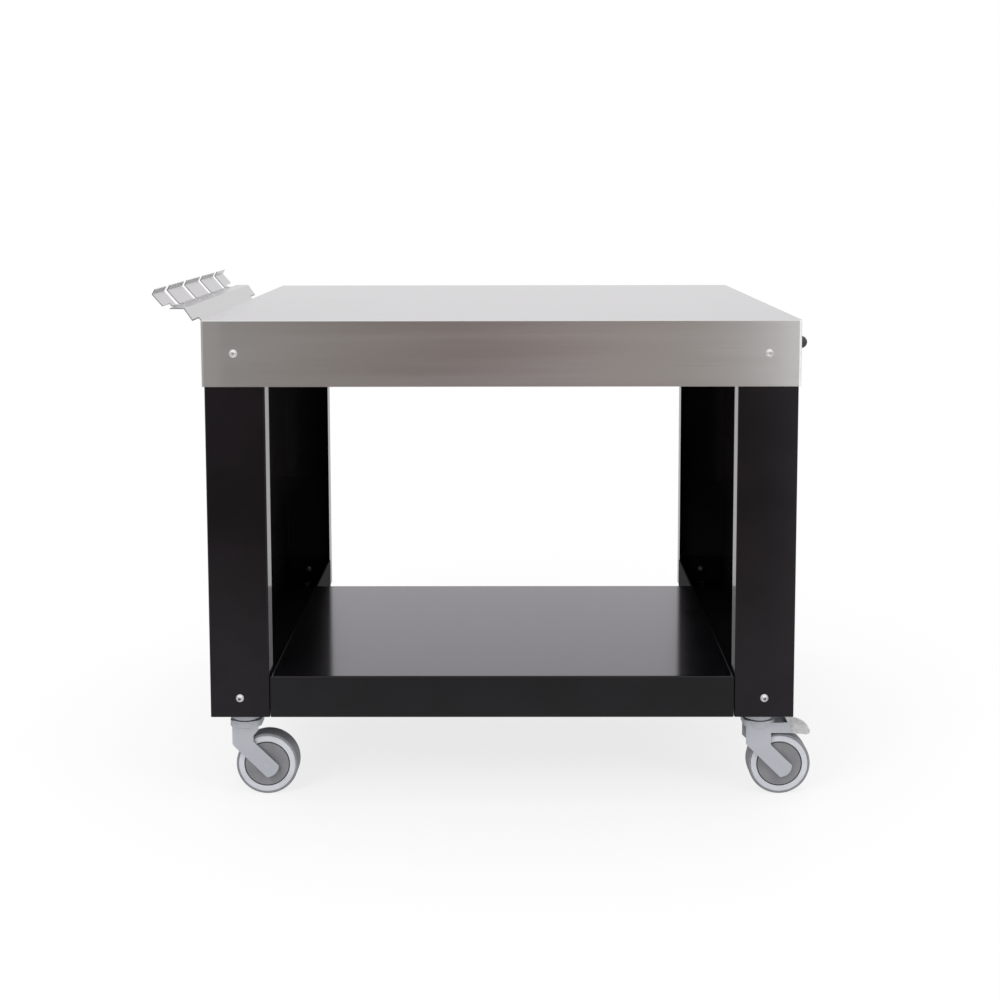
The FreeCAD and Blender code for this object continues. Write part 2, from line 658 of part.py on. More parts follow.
def make_tool_rack():
    """Tool rack: one folded stainless strip, cut into five fingers by four open slots."""
    side = number("table_width / 2")
    top = number("table_height")
    sheet = number("rack_sheet")
    length = number("rack_length")
    section = [
        (0, -number("rack_bend_drop + rack_flange")),
        (0, -number("rack_bend_drop")),
        (number("rack_ledge_start"), number("rack_ledge_rise")),
        (number("rack_ledge_end"), number("rack_ledge_rise")),
        (number("rack_out"), number("rack_out_rise")),
        (number("rack_out - rack_lip_back"), number("rack_out_rise + rack_lip_rise")),
    ]
    line = Part.makePolygon([Vector(-out, 0, rise) for out, rise in section])
    strip = line.makeOffset2D(sheet, 0, True, True, False)
    if strip.BoundBox.XMin > -number("rack_out") - sheet / 2:
        strip = line.makeOffset2D(-sheet, 0, True, True, False)
    rack = strip.extrude(Vector(0, length, 0))

    reach = number("rack_out + 2 * rack_sheet")
    crown = number("rack_out_rise + 2 * rack_lip_rise")
    slot = number("slot_width")
    ledge_end = number("rack_ledge_end")
    ledge = number("rack_ledge_rise")
    cuts = []
    for step in (-1.5, -0.5, 0.5, 1.5):
        middle = length / 2 + step * number("slot_pitch")
        corner = Vector(-reach, middle - slot / 2, ledge - 2 * sheet)
        cuts.append(Part.makeBox(reach - ledge_end, slot, crown, corner))
        cuts.append(Part.makeCylinder(slot / 2, crown, Vector(-ledge_end, middle, ledge - 2 * sheet)))
    relief = number("rack_relief")
    foot = number("rack_bend_drop + rack_flange")
    out = number("rack_ledge_start") / 2
    for start in (0, length - relief):
        corner = Vector(-out, start, -foot - sheet)
        cuts.append(Part.makeBox(out + sheet, relief, foot + 2 * sheet, corner))
        corner = Vector(-ledge_end - 3 * sheet, start, ledge - 2 * sheet)
        cuts.append(Part.makeBox(8 * sheet, relief, 5 * sheet, corner))
    hole = number("screw_radius + hole_play")
    for step in (-1, 0, 1):
        middle = length / 2 + step * number("rack_screw_pitch")
        spot = Vector(sheet, middle, number("rack_screw_z - table_height"))
        cuts.append(Part.makeCylinder(hole, 4 * sheet, spot, Vector(-1, 0, 0)))
    rack = rack.cut(cuts).removeSplitter()

    feature = doc.addObject("Part::Feature", "ToolRack")
    feature.Shape = rack.Solids[0]
    finish(feature, "tool_rack", "-table_width / 2", "-table_depth / 2", "table_height")


def make_side_knob():
    """Ball-ended hanging knob on the right-hand rim, held by a stud into a rivet nut."""
    body = new_body("Knob")
    shoulder = "knob_reach - sqrt(knob_radius ^ 2 - knob_neck ^ 2)"
    corners = [
        ("0", "0"), ("knob_base", "0"), ("knob_base", "knob_foot"), ("knob_neck", "knob_flare"),
        ("knob_neck", shoulder, "0"), ("0", "knob_reach + knob_radius"),
    ]
    turn(body, outline(body, "XZ_Plane", corners))
    pocket(body, circles(body, "XY_Plane", [("0", "0", "screw_radius")]), "knob_reach / 2", "up")
    finish(body, "side_knob", "table_width / 2", "knob_y", "knob_z", TO_RIGHT)

    body = new_body("KnobStud")
    stud = circles(body, "XY_Plane", [("0", "0", "screw_radius")])
    pad(body, stud, "knob_reach / 2 + tray_sheet + insert_flange + insert_length")
    finish(body, "knob_stud", "leg_x - insert_length", "knob_y", "knob_z", TO_RIGHT)


def fork_profile(braked):
    """Side view of a fork, the swivel axis at x = 0: head, neck and an arm that slants to the axle."""
    across_x = "sin(fork_slope) * fork_arm / 2"
    across_z = "cos(fork_slope) * fork_arm / 2"
    tip = "sqrt(fork_tip_radius ^ 2 - (fork_arm / 2) ^ 2)"
    upper = (f"trail + {across_x} + cos(fork_slope) * {tip}",
             f"wheel_radius + {across_z} - sin(fork_slope) * {tip}")
    lower = (f"trail - {across_x} + cos(fork_slope) * {tip}",
             f"wheel_radius - {across_z} - sin(fork_slope) * {tip}")

    def upper_edge(x):
        return f"wheel_radius + {across_z} + (trail + {across_x} - ({x})) * tan(fork_slope)"

    def lower_edge(x):
        return f"wheel_radius - {across_z} + (trail - {across_x} - ({x})) * tan(fork_slope)"

    back = "fork_step - crown_radius"
    skirt = "crown_under - fork_skirt"
    if braked:
        neck = "crown_radius - braked_neck_step"
        bottom = "crown_under - cheek_drop"
        front = [(neck, upper_edge(neck)), (neck, bottom), ("cheek_reach", bottom),
                 ("cheek_reach - cheek_slant", "crown_under + cheek_rise"),
                 ("crown_radius", "crown_under + cheek_rise")]
    else:
        neck = "crown_radius - neck_step"
        front = [(neck, upper_edge(neck)), (neck, "crown_under - neck_drop"), ("crown_radius", skirt)]
    rest = [("crown_radius", "crown_top"), ("-crown_radius", "crown_top"), ("-crown_radius", skirt),
            (back, "crown_under - fork_shoulder"), (back, lower_edge(back))]
    return [(*lower, "trail"), upper] + front + rest


def make_fork(corner, spot, braked):
    """Swivel fork: a round head over two flat sides, with the wheel between them."""
    body = new_body("Fork")
    profile = outline(body, "XZ_Plane", fork_profile(braked))
    pad(body, profile, "fork_width", both_ways=True)
    round_edges(body, "fork_width / 4", is_head_corner)
    gap = [("-fork_inner", "-wheel_radius"), ("fork_inner", "-wheel_radius"),
           ("fork_inner", "crown_under"), ("-fork_inner", "crown_under")]
    pocket(body, outline(body, "YZ_Plane", gap), "6 * wheel_radius")
    if braked:
        mouth = [("crown_radius", "crown_under - cheek_play"), ("2 * cheek_reach", "crown_under - cheek_play"),
                 ("2 * cheek_reach", "crown_top"), ("crown_radius", "crown_top")]
        pocket(body, outline(body, "XZ_Plane", mouth), "2 * fork_inner")
    head = circles(body, "XY_Plane", [("0", "0", "crown_radius")], "crown_under")
    pad(body, head, "crown_height")
    king = circles(body, "XY_Plane", [("0", "0", "pin_radius + running_play")], "crown_top")
    pocket(body, king, "2 * crown_height", "down")
    holes = [("trail", "wheel_radius", "axle_radius")]
    if braked:
        holes.append(("brake_pin_x", "brake_pin_z", "brake_pin_radius"))
    pocket(body, circles(body, "XZ_Plane", holes), "2 * fork_width")
    finish(body, f"fork_{corner}", *spot)


def is_head_corner(edge):
    """The upright edges of a fork blank at the outside of its head."""
    return is_line_along(edge, "z") and is_out_at(edge, number("crown_radius"))


def make_wheel(corner, spot):
    """Axle, sleeve and disc guards that stay with the fork; bearing, rim and tyre that turn."""
    x, y, z = spot
    hub_spot = (f"{x} + trail", y, "wheel_radius")

    body = new_body("Axle")
    pad(body, circles(body, "XY_Plane", [("0", "0", "axle_radius")]), "fork_width", both_ways=True)
    finish(body, f"axle_{corner}", *hub_spot, TO_BACK)

    body = new_body("Sleeve")
    pad(body, circles(body, "XY_Plane", [("0", "0", "sleeve_radius")]), "2 * fork_inner", both_ways=True)
    pocket(body, circles(body, "XY_Plane", [("0", "0", "axle_radius")]), "2 * fork_width")
    finish(body, f"axle_sleeve_{corner}", *hub_spot, TO_BACK)

    body = new_body("Bearing")
    ring = circles(body, "XY_Plane", [("0", "0", "bearing_radius")])
    pad(body, ring, "hub_width", both_ways=True)
    bore = circles(body, "XY_Plane", [("0", "0", "sleeve_radius + running_play")])
    pocket(body, bore, "2 * fork_width")
    finish(body, f"bearing_{corner}", *hub_spot, TO_BACK)

    body = new_body("Rim")
    half = [
        ("bearing_radius", "hub_width / 2"), ("hub_radius", "hub_width / 2"),
        ("hub_radius", "web_sheet / 2"), ("ring_radius", "web_sheet / 2"),
        ("ring_radius", "wheel_face - tyre_edge / 2"), ("ring_radius + tyre_edge", "wheel_face"),
        ("rim_radius - tyre_edge", "wheel_face"), ("rim_radius", "wheel_face - tyre_edge"),
    ]
    other = [(radius, f"-({height})") for radius, height in reversed(half)]
    turn(body, outline(body, "XZ_Plane", half + other))
    finish(body, f"rim_{corner}", *hub_spot, TO_BACK)

    body = new_body("Tyre")
    flank = "wheel_radius - tyre_shoulder"
    half = [("rim_radius", "wheel_face - tyre_edge"), ("rim_radius + tyre_edge", "wheel_face"),
            (flank, "wheel_face", flank), ("wheel_radius", "wheel_face - tyre_shoulder")]
    other = [
        ("wheel_radius", "tyre_shoulder - wheel_face", flank), (flank, "-wheel_face"),
        ("rim_radius + tyre_edge", "-wheel_face"), ("rim_radius", "tyre_edge - wheel_face"),
    ]
    turn(body, outline(body, "XZ_Plane", half + other))
    finish(body, f"tyre_{corner}", *hub_spot, TO_BACK)


def disc_guard():
    """Disc guard along Z: a flat disc with a boss that reaches the fork's side."""
    body = new_body("Guard")
    under = "wheel_face - guard_sink - guard_sheet"
    disc = circles(body, "XY_Plane", [("0", "0", "guard_radius")], under)
    pad(body, disc, "guard_sheet")
    boss = circles(body, "XY_Plane", [("0", "0", "boss_radius")], under)
    pad(body, boss, f"fork_inner - ({under})")
    pocket(body, circles(body, "XY_Plane", [("0", "0", "sleeve_radius")]), "2 * fork_width")
    return body


def make_king_pins():
    """Head cup, dark ring, king pin and nut of each caster: they stay with the table."""
    pin = new_body("KingPin")
    shank = "caster_height + rail_base + pin_nut_height + pin_tail"
    under = "crown_under - pin_play"
    corners = [("0", f"{under} - pin_head_height"), ("pin_head_radius", f"{under} - pin_head_height"),
               ("pin_head_radius", under), ("pin_radius", under), ("pin_radius", shank), ("0", shank)]
    turn(pin, outline(pin, "XZ_Plane", corners))
    nut = hex_nut("pin_radius", "pin_nut_height")

    cup = new_body("Cup")
    side = "crown_radius - cup_step"
    corners = [("pin_radius", "race_top"), (f"{side} - cup_edge", "race_top"),
               (side, "race_top + cup_edge"), (side, "caster_height"), ("pin_radius", "caster_height")]
    turn(cup, outline(cup, "XZ_Plane", corners))
    ring = new_body("Ring")
    floor = "crown_top + pin_play"
    corners = [("pin_radius", floor), ("crown_radius - race_step", floor),
               ("crown_radius - race_step", "race_top"), ("pin_radius", "race_top")]
    turn(ring, outline(ring, "XZ_Plane", corners))

    def at_casters(height):
        return [(f"{side} * caster_x", f"{end} * caster_y", height, UPRIGHT) for name, side, end in CORNERS]

    copies("caster_king_pins", pin, at_casters("0"))
    copies("caster_nuts", nut, at_casters("caster_height + rail_base"))
    copies("caster_cups", cup, at_casters("0"))
    copies("caster_seals", ring, at_casters("0"))


def make_brake(corner, spot):
    """Brake: a dark shoe over the tread, a foot pedal fixed to it and the pin that both turn on."""
    body = new_body("Shoe")
    behind = "crown_radius + shoe_gap"
    top = "crown_under - cheek_play"
    corners = [(behind, top), ("pedal_start", top), ("pedal_start", "brake_pin_z - shoe_depth"),
               ("brake_pin_x + 2 * brake_pin_radius", "brake_pin_z - shoe_depth + 0.4"),
               (behind, "brake_pin_z - shoe_depth / 2")]
    pad(body, outline(body, "XZ_Plane", corners), "pedal_width", both_ways=True)
    bore = [("brake_pin_x", "brake_pin_z", "brake_pin_radius + running_play")]
    pocket(body, circles(body, "XZ_Plane", bore), "2 * fork_width")
    finish(body, f"brake_shoe_{corner}", *spot)

    body = new_body("Pedal")
    corners = [(f"pedal_start + {along} * pedal_length", f"brake_pin_z + {rise}")
               for along, rise in PEDAL_LINE]
    pad(body, outline(body, "XZ_Plane", corners), "pedal_width", both_ways=True)
    round_edges(body, "pedal_width / 4", is_pedal_corner)
    finish(body, f"brake_pedal_{corner}", *spot)

    body = new_body("BrakePin")
    pad(body, circles(body, "XY_Plane", [("0", "0", "brake_pin_radius")]), "fork_width", both_ways=True)
    x, y, z = spot
    finish(body, f"brake_pin_{corner}", f"{x} + brake_pin_x", y, "brake_pin_z", TO_BACK)


def is_pedal_corner(edge):
    """The two short edges at the pedal's tip, seen from above its corners."""
    tip = number("pedal_start + 0.95 * pedal_length")
    return edge.BoundBox.XMin > tip and not is_line_along(edge, "y")


def make_casters():
    guard = disc_guard()
    for corner, side, end in CORNERS:
        spot = (f"{side} * caster_x", f"{end} * caster_y", "0")
        braked = corner in BRAKED
        make_fork(corner, spot, braked)
        make_wheel(corner, spot)
        hub = (f"{side} * caster_x + trail", f"{end} * caster_y", "wheel_radius")
        copies(f"disc_guards_{corner}", guard, [(*hub, TO_FRONT), (*hub, TO_BACK)])
        if braked:
            make_brake(corner, spot)
    make_king_pins()


def check_model():
    """Stops on a failed feature, an empty or invalid sub-part, or two of one name."""
    for item in doc.Objects:
        if "Invalid" in item.State or "Error" in item.State:
            raise RuntimeError(f"{item.Label}: {item.State}")
    labels = [node.Label for node in nodes]
    if len(set(labels)) < len(labels):
        raise RuntimeError("two sub-parts share a name")
    for node in nodes:
        if node.Shape.isNull() or not node.Shape.isValid() or not node.Shape.Solids:
            raise RuntimeError(f"{node.Label}: no valid solid")


def main():
    make_worktop()
    tray_span = "2 * (leg_x - panel_sheet - end_gap)"
    under_tray = "table_height - tray_sheet"
    hat_channel("stiffener_front", tray_span, "-brace_offset", under_tray)
    hat_channel("stiffener_back", tray_span, "brace_offset", under_tray)
    for label, side in (("left", -1), ("right", 1)):
        make_side_panel(f"side_panel_{label}", side)
        make_base_rail(f"base_rail_{label}", side)
    make_shelf()
    shelf_span = "2 * (shelf_x - shelf_sheet - end_gap)"
    hat_channel("shelf_brace", shelf_span, "shelf_middle_y", "shelf_top - shelf_sheet")
    make_fasteners()
    make_tool_rack()
    make_side_knob()
    make_casters()
    doc.recompute()
    check_model()
    os.makedirs("parts", exist_ok=True)
    for node in nodes:
        node.Shape.exportStep(f"parts/{node.Label}.step")
    print(len(nodes), "sub-parts,", sum(len(node.Shape.Solids) for node in nodes), "solids")


main()
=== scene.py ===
# %% [markdown]
# An outdoor oven table. A folded stainless tray rests on two black side frames.
# A low shelf ties the frames together, a tool rack hangs at the left, and four swivel
# casters carry it all.
# Every sheet, bolt and wheel comes ready made from the CAD model, in metres and in its
# right place. They could be modelled again here, but then sizes would drift, so this
# lesson leaves their shapes alone and gives them light, a camera, finishes and the small
# moulded details that are easier to make as meshes.

# %% Load the table
import json
import math

import bmesh
import bpy
from mathutils import Matrix, Vector


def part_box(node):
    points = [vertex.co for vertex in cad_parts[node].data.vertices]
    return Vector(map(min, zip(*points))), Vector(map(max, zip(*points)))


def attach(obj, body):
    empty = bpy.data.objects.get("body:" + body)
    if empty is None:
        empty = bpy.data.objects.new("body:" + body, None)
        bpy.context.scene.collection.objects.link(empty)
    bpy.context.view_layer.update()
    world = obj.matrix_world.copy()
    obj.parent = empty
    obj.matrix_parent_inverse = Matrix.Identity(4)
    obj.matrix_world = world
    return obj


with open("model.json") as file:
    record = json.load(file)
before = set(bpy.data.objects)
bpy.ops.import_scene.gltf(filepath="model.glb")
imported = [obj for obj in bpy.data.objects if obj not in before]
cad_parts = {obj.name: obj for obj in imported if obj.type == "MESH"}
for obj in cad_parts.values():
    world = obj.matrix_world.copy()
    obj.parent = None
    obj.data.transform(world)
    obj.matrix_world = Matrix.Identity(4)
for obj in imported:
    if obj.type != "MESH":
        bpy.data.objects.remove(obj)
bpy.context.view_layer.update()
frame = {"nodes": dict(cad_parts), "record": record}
table_nodes = frame["nodes"]

# %% [markdown]
# The camera stands in front of the table, a little to the right of its middle and some
# 20 cm above the tray, so the tray top is a thin bright wedge and the shelf a taller one.
# A camera that is only tipped down makes the legs lean together towards the floor, and a
# large lens shift alone would push the table out of other views. So a small tilt and a
# modest shift share the work, and the legs still look upright, as in a product photograph.

# %% Camera
scene = bpy.context.scene


def aim_camera(place, turn, tip, roll):
    """A matrix that looks along +Y, then turned left, tipped down and rolled by small angles."""
    look = Matrix.Rotation(turn, 4, "Z") @ Matrix.Rotation(math.pi / 2 - tip, 4, "X")
    return Matrix.Translation(place) @ look @ Matrix.Rotation(roll, 4, "Z")


camera_place = Vector((0.0414, -2.612, 1.0477))
turned_left = 0.0031
tipped_down = 0.0829
rolled = -0.0016
lens = bpy.data.cameras.new("product_lens")
lens.sensor_width = 36.0
lens.lens = 48.24
lens.shift_x = -0.0084
lens.shift_y = -0.2
lens.clip_start = 0.05
camera = bpy.data.objects.new("product_camera", lens)
scene.collection.objects.link(camera)
camera.matrix_world = aim_camera(camera_place, turned_left, tipped_down, rolled)
scene.camera = camera
scene.view_settings.view_transform = "Standard"
print("camera", [round(v, 3) for v in camera.location], "lens", lens.lens)

# %% [markdown]
# Everything that has a finish here is wired from nodes. Blender can be told to make nodes
# one call at a time, which gets long, so a few small helpers do it. One puts a node on the
# bench and plugs its inputs, and the others build on it: they calculate, make clouds of
# noise, mix two colours, carry a value from one span to another, or run it through a ramp.

# %% Node helpers
def put(tree, kind, plugs=None, **settings):
    """Adds a node, applies its settings, and fills or links its inputs by name or number."""
    node = tree.nodes.new("ShaderNode" + kind)
    for key, value in settings.items():
        setattr(node, key, value)
    for key, value in (plugs or {}).items():
        if isinstance(value, bpy.types.NodeSocket):
            tree.links.new(value, node.inputs[key])
        else:
            node.inputs[key].default_value = value
    return node


def calc(tree, operation, *values):
    """A Math node and its result."""
    return put(tree, "Math", dict(enumerate(values)), operation=operation).outputs[0]


def reckon(tree, operation, first, second=None, result="Vector"):
    """A Vector Math node and its result."""
    plugs = {0: first} if second is None else {0: first, 1: second}
    return put(tree, "VectorMath", plugs, operation=operation).outputs[result]


def axis(tree, vector, number):
    """One part of a vector: 0 for x, 1 for y, 2 for z."""
    return put(tree, "SeparateXYZ", {0: vector}).outputs[number]


def scaled(tree, vector, amount):
    """A vector made longer, or a colour made brighter."""
    return put(tree, "VectorMath", {0: vector, 3: amount}, operation="SCALE").outputs[0]


def noise(tree, point, per_metre, detail=2.0, roughness=0.5):
    """A cloudy noise between 0 and 1."""
    plugs = {"Vector": point, "Scale": per_metre, "Detail": detail, "Roughness": roughness}
    return put(tree, "TexNoise", plugs).outputs["Fac"]


def blend_colour(tree, share, a, b):
    """Colour a where share is 0, b where it is 1."""
    return put(tree, "Mix", {0: share, 6: a, 7: b}, data_type="RGBA").outputs[2]


def ease(tree, value, low, high, to_low=0.0, to_high=1.0):
    """Carries a value smoothly from one span to another."""
    plugs = {"Value": value, 1: low, 2: high, 3: to_low, 4: to_high}
    return put(tree, "MapRange", plugs, interpolation_type="SMOOTHSTEP").outputs[0]


def stops(tree, value, points, interpolation="B_SPLINE"):
    """A colour ramp through (position, colour) points."""
    ramp = put(tree, "ValToRGB", {0: value})
    ramp.color_ramp.interpolation = interpolation
    bar = ramp.color_ramp.elements
    while len(bar) < len(points):
        bar.new(0.5)
    for mark, (position, colour) in zip(bar, points):
        mark.position = position
        mark.color = colour
    return ramp.outputs[0]


def rgb(red, green, blue):
    """A solid colour."""
    return (red, green, blue, 1.0)


def grey(value):
    """A solid neutral colour."""
    return rgb(value, value, value)


print("helpers ready")

# %% [markdown]
# Brushed steel has almost no colour of its own: what it shows is the room. In the
# photograph the front of the tray is a dim, slightly warm grey in the middle and bright at
# its right end, because a dark studio lies behind the camera and a soft light stands at
# the right. An image of a studio could be wrapped round the scene, but a few smooth stops
# do the same and can be read. The camera itself sees plain white, and matt surfaces get one
# even light, so that their colours come out as they are written. Side, depth and height run
# from -1 to 1: they say where a ray is heading, to the right, away from the camera, and up.
# A ramp takes 0 to 1, so half is added to the side and the outermost stops serve the rest.

# %% Studio round the table
studio = bpy.data.worlds.new("soft_studio")
studio.use_nodes = True
scene.world = studio
room = studio.node_tree
room.nodes.clear()
facing = put(room, "TexCoord").outputs["Generated"]
side, depth, height = put(room, "SeparateXYZ", {0: facing}).outputs
in_front = stops(room, calc(room, "ADD", side, 0.5), [
    (0.00, rgb(0.50, 0.49, 0.48)), (0.24, rgb(0.32, 0.305, 0.295)), (0.34, rgb(0.25, 0.22, 0.20)),
    (0.46, rgb(0.185, 0.14, 0.13)), (0.56, rgb(0.29, 0.24, 0.225)), (0.67, rgb(0.30, 0.265, 0.24)),
    (0.70, rgb(0.56, 0.54, 0.54)), (0.74, grey(1.35)), (0.85, grey(1.5)), (0.94, grey(1.3)),
    (1.00, grey(0.55)),
], "CARDINAL")
overhead = stops(room, calc(room, "ADD", side, 0.5), [
    (0.0, grey(0.8)), (0.30, grey(1.2)), (0.50, grey(1.35)), (0.70, grey(1.2)), (1.0, grey(0.8)),
])
back_wall = stops(room, calc(room, "ABSOLUTE", side), [
    (0.0, grey(0.95)), (0.30, grey(0.93)), (0.52, grey(0.56)), (0.75, grey(0.42)), (1.0, grey(0.50)),
])
tint_begins, tint_ends = (0.18, 0.26), (0.6, 0.4)
front_to_back, ceiling_to_back = (-0.25, 0.1), (-0.1, 0.35)
wall_to_ceiling, skirting_to_wall = (0.30, 0.55), (-0.36, -0.24)
floor_to_skirting, low_to_upper = (-0.55, -0.35), (-0.37, -0.24)
tinted = calc(room, "MULTIPLY", ease(room, height, *tint_begins), ease(room, height, *tint_ends))
behind = blend_colour(room, tinted, back_wall, rgb(0.925, 0.892, 0.945))
level = blend_colour(room, ease(room, depth, *front_to_back), in_front, behind)
above = blend_colour(room, ease(room, depth, *ceiling_to_back), overhead, behind)
upper = blend_colour(room, ease(room, height, *wall_to_ceiling), level, above)
skirting = blend_colour(room, ease(room, height, *skirting_to_wall), grey(0.23), in_front)
near_floor = blend_colour(room, ease(room, height, *floor_to_skirting), grey(0.80), skirting)
low = blend_colour(room, ease(room, depth, *front_to_back), near_floor, grey(0.42))
mirrored = blend_colour(room, ease(room, height, *low_to_upper), low, upper)
rays = put(room, "LightPath").outputs
shiny = calc(room, "MAXIMUM", rays["Is Glossy Ray"], rays["Is Transmission Ray"])
matt_or_shiny = blend_colour(room, shiny, grey(0.80), mirrored)
seen = blend_colour(room, rays["Is Camera Ray"], matt_or_shiny, grey(1.0))
glow = put(room, "Background", {"Color": seen})
put(room, "OutputWorld", {0: glow.outputs[0]})
print("studio has", len(room.nodes), "nodes")

# %% [markdown]
# Three large soft lamps shape the matt parts: a key from the upper left in front, a weaker
# one from the right and one overhead that lays the shadow under the table. Small lamps
# would give hard little glints on the wheels, so these are one to two metres across.

# %% Lamps
def hang_lamp(name, place, watts, width, tall, aim=(0.0, 0.0, 0.4)):
    """A soft area lamp that faces a point."""
    light = bpy.data.lights.new(name, "AREA")
    light.shape = "RECTANGLE"
    light.size = width
    light.size_y = tall
    light.energy = watts
    lamp = bpy.data.objects.new(name, light)
    scene.collection.objects.link(lamp)
    lamp.location = place
    lamp.rotation_euler = (Vector(aim) - Vector(place)).to_track_quat("-Z", "Y").to_euler()
    lamp.visible_glossy = False
    return lamp


lamps = [
    hang_lamp("key_lamp", (-1.9, -2.6, 2.4), 48, 1.6, 1.6),
    hang_lamp("right_lamp", (2.6, -1.9, 1.5), 20, 0.8, 1.8),
    hang_lamp("top_lamp", (0.0, 0.3, 3.2), 46, 2.2, 2.0),
]
print("lamps", {lamp.name: lamp.data.energy for lamp in lamps})

# %% [markdown]
# The table stands on white. A white plane that runs to the horizon turns grey with the
# light's falloff, so this one is a disc: in its middle it takes the soft shadow, and towards
# its rim it turns, for the camera and for shiny steel, into the same white as the room.

# %% Floor
floor_radius = 2.0
floor_drop = 0.0002
shadow_reach, white_reach = 0.50, 1.60


def lay_floor(radius):
    """A flat round floor at the height where the wheels stand."""
    sheet = bpy.data.meshes.new("studio_floor")
    mould = bmesh.new()
    bmesh.ops.create_circle(mould, cap_ends=True, radius=radius, segments=96)
    mould.to_mesh(sheet)
    mould.free()
    disc = bpy.data.objects.new("studio_floor", sheet)
    scene.collection.objects.link(disc)
    disc.location = (0.02, 0.0, -floor_drop)
    return disc


floor = lay_floor(floor_radius)
floor_white = bpy.data.materials.new("floor_white")
floor_white.use_nodes = True
paper = floor_white.node_tree
paper.nodes.clear()
spot = put(paper, "TexCoord").outputs["Object"]
reach = reckon(paper, "LENGTH", spot, result="Value")
fade = ease(paper, reach, shadow_reach, white_reach, 0.78, 1.0)
look = put(paper, "LightPath").outputs
watched = calc(paper, "MULTIPLY", look["Is Camera Ray"], fade)
matt = put(paper, "BsdfDiffuse", {"Color": grey(0.82)})
white = put(paper, "Emission", {"Color": grey(1.0), "Strength": 1.0})
unseen = put(paper, "BsdfTransparent")
shone = calc(paper, "MAXIMUM", look["Is Glossy Ray"], look["Is Transmission Ray"])
mixed = put(paper, "MixShader", {0: watched, 1: matt.outputs[0], 2: white.outputs[0]})
mixed = put(paper, "MixShader", {0: shone, 1: mixed.outputs[0], 2: unseen.outputs[0]})
put(paper, "OutputMaterial", {0: mixed.outputs[0]})
floor.data.materials.append(floor_white)
print("floor disc of", floor_radius, "m radius")

# %% [markdown]
# Each finish starts in the same way: a new material, its Principled shader, and the point
# that it colours. Object coordinates are used all over, because every part's object sits at
# the origin, so they are metres on the real table and move with the part. What several
# finishes share is a node group, and two more helpers open a group and place it.

# %% Start a finish
finishes = {}


def start_finish(slot_name, **constants):
    """A material for one slot of the record, with the numbers that are the same all over it."""
    finish = bpy.data.materials.new(slot_name)
    finish.use_nodes = True
    tree = finish.node_tree
    shader = tree.nodes["Principled BSDF"]
    for key, value in constants.items():
        shader.inputs[key.replace("_", " ")].default_value = value
    finishes[slot_name] = finish
    point = put(tree, "TexCoord").outputs["Object"]
    return tree, shader, point


def open_group(name, takes, gives):
    """An empty node group with named inputs (name, kind, value) and outputs (name, kind)."""
    group = bpy.data.node_groups.new(name, "ShaderNodeTree")
    for label, kind, value in takes:
        socket = group.interface.new_socket(label, in_out="INPUT", socket_type="NodeSocket" + kind)
        if value is not None:
            socket.default_value = value
    for label, kind in gives:
        group.interface.new_socket(label, in_out="OUTPUT", socket_type="NodeSocket" + kind)
    way_in = group.nodes.new("NodeGroupInput").outputs
    way_out = group.nodes.new("NodeGroupOutput").inputs
    return group, way_in, way_out


def use_group(tree, group, plugs):
    """Places a group in a material and gives its outputs."""
    node = tree.nodes.new("ShaderNodeGroup")
    node.node_tree = group
    for key, value in plugs.items():
        if isinstance(value, bpy.types.NodeSocket):
            tree.links.new(value, node.inputs[key])
        else:
            node.inputs[key].default_value = value
    return node.outputs


def feed(tree, shader, **sources):
    """Links node results to the shader's inputs: Base_Color for Base Color, and so on."""
    for key, source in sources.items():
        tree.links.new(source, shader.inputs[key.replace("_", " ")])


def raise_surface(tree, shader, height_value, depth_m, strength=1.0):
    """Feeds a height, of that many metres at 1, to the shader as a bump."""
    bump = put(tree, "Bump", {"Height": height_value, "Distance": depth_m, "Strength": strength})
    feed(tree, shader, Normal=bump.outputs[0])


def give_out(group, outlets, **results):
    """Links node results to a group's outputs: End_Rim for End Rim, and so on."""
    for key, result in results.items():
        group.links.new(result, outlets[key.replace("_", " ")])
    print(group.name, "gives", [key.replace("_", " ") for key in results])


print("ready for finishes")

# %% [markdown]
# Stainless sheet is brushed by a belt, which leaves long fine scratches in one direction.
# The scratches could be drawn one by one, but noise that is stretched along the belt's
# path looks the same. The belt ran along the blank before it was folded, so on the tray's
# two end rims the lines run up and down. The group turns its own coordinates there.

# %% Brushed grain group
brushed_grain, taken, given = open_group(
    "brushed_grain",
    [("Point", "Vector", None), ("Face", "Vector", None), ("Lines per Metre", "Float", 420.0),
     ("Line Stretch", "Float", 90.0)],
    [("Lines", "Float"), ("Bands", "Float"), ("End Rim", "Float")],
)
sideways = calc(brushed_grain, "ABSOLUTE", axis(brushed_grain, taken["Face"], 0))
end_rim = calc(brushed_grain, "GREATER_THAN", sideways, 0.6)
across, inward, upward = put(brushed_grain, "SeparateXYZ", {0: taken["Point"]}).outputs
turned = put(brushed_grain, "CombineXYZ", {0: upward, 1: inward, 2: across}).outputs[0]
unfolded = put(brushed_grain, "Mix", {0: end_rim, 4: taken["Point"], 5: turned},
               data_type="VECTOR").outputs[1]
close = taken["Lines per Metre"]
sparse = calc(brushed_grain, "DIVIDE", close, taken["Line Stretch"])
pull = put(brushed_grain, "CombineXYZ", {0: sparse, 1: close, 2: close}).outputs[0]
drawn = reckon(brushed_grain, "MULTIPLY", unfolded, pull)
scratches = noise(brushed_grain, drawn, 1.0, detail=4.0, roughness=0.62)
swathes = noise(brushed_grain, reckon(brushed_grain, "MULTIPLY", drawn, (0.35, 0.06, 0.06)), 1.0)
give_out(brushed_grain, given, Lines=scratches, Bands=swathes, End_Rim=end_rim)

